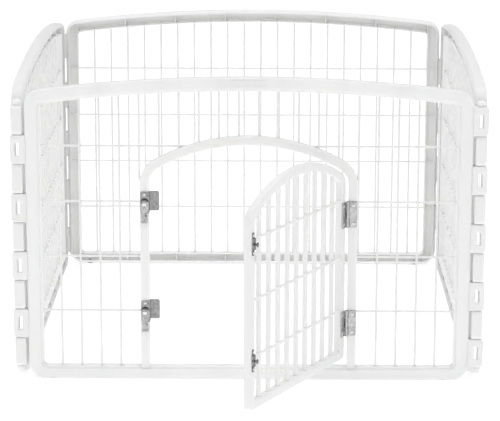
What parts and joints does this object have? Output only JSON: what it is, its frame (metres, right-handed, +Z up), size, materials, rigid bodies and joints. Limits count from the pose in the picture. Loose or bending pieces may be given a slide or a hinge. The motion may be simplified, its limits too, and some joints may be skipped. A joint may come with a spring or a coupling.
{
  "type": "pet playpen",
  "caption": "Square pet playpen of hinged moulded-frame wire panels with a crowned top, and an arched slatted door with turn latches in the front panel.",
  "frame": {"origin": "on the floor, under the middle of the whole object with its door standing open", "axes": "+X across the front towards the door's hinge side, +Y from the front panel to the back panel, +Z up"},
  "size_m": [0.921, 1.2564, 0.603],
  "materials": {
    "frame_plastic": "satin injection-moulded polypropylene, white",
    "door_plastic": "satin injection-moulded polypropylene, white",
    "rod_plastic": "smooth white",
    "coated_wire": "white powder-coated steel wire",
    "plated_steel": "bright zinc plate",
    "screw_steel": "bright plated",
    "foot_rubber": "matt white rubber"
  },
  "bodies": {
    "front_panel": {"front_frame": "frame_plastic", "doorway_surround": "frame_plastic", "front_mesh_left": "coated_wire", "front_mesh_right": "coated_wire", "front_mesh_arch": "coated_wire", "nameplate": "frame_plastic", "front_feet": "foot_rubber", "latch_bracket_upper": "plated_steel", "latch_bracket_lower": "plated_steel", "latch_bracket_screws": "screw_steel", "latch_rivet_upper": "plated_steel", "latch_rivet_lower": "plated_steel", "hinge_post_leaf_upper": "plated_steel", "hinge_post_leaf_lower": "plated_steel", "hinge_post_screws": "screw_steel", "hinge_pin_upper": "plated_steel", "hinge_pin_lower": "plated_steel", "corner_rod_front_left": "plated_steel", "corner_rod_front_right": "plated_steel", "corner_knob_front_left": "rod_plastic", "corner_knob_front_right": "rod_plastic", "corner_cap_front_left": "rod_plastic", "corner_cap_front_right": "rod_plastic"},
    "door": {"door_frame": "door_plastic", "hinge_door_leaf_upper": "plated_steel", "hinge_door_leaf_lower": "plated_steel", "hinge_door_screws": "screw_steel", "catch_upper": "plated_steel", "catch_lower": "plated_steel", "catch_screws": "screw_steel"},
    "latch_upper": {"latch_lever_upper": "plated_steel"},
    "latch_lower": {"latch_lever_lower": "plated_steel"},
    "right_panel": {"right_frame": "frame_plastic", "right_mesh": "coated_wire", "right_feet": "foot_rubber", "corner_rod_back_right": "plated_steel", "corner_knob_back_right": "rod_plastic", "corner_cap_back_right": "rod_plastic"},
    "left_panel": {"left_frame": "frame_plastic", "left_mesh": "coated_wire", "left_feet": "foot_rubber", "corner_rod_back_left": "plated_steel", "corner_knob_back_left": "rod_plastic", "corner_cap_back_left": "rod_plastic"},
    "back_panel": {"back_frame": "frame_plastic", "back_mesh": "coated_wire", "back_feet": "foot_rubber"}
  },
  "joints": [
    {"name": "corner_front_right", "type": "hinge", "parent": "front_panel", "child": "right_panel", "pos_m": [0.446, -0.27829, 0.3], "axis": [0, 0, 1], "range_deg": [-18, 18]},
    {"name": "corner_front_left", "type": "hinge", "parent": "front_panel", "child": "left_panel", "pos_m": [-0.446, -0.27829, 0.3], "axis": [0, 0, 1], "range_deg": [-18, 18]},
    {"name": "corner_back_right", "type": "hinge", "parent": "right_panel", "child": "back_panel", "pos_m": [0.446, 0.61371, 0.3], "axis": [0, 0, 1], "range_deg": [-18, 18]},
    {"name": "door_hinge", "type": "hinge", "parent": "front_panel", "child": "door", "pos_m": [0.1915, -0.29199, 0.226], "axis": [0, 0, 1], "range_deg": [-61.6, 103.4]},
    {"name": "latch_turn_upper", "type": "hinge", "parent": "front_panel", "child": "latch_upper", "pos_m": [-0.2019, -0.29529, 0.356], "axis": [0, -1, 0], "range_deg": [-90, 90]},
    {"name": "latch_turn_lower", "type": "hinge", "parent": "front_panel", "child": "latch_lower", "pos_m": [-0.2019, -0.29529, 0.138], "axis": [0, -1, 0], "range_deg": [-90, 90]}
  ],
  "couplings": [
    {"joint": "corner_front_left", "follows": "corner_front_right", "ratio": 1},
    {"joint": "corner_back_right", "follows": "corner_front_right", "ratio": -1}
  ]
}
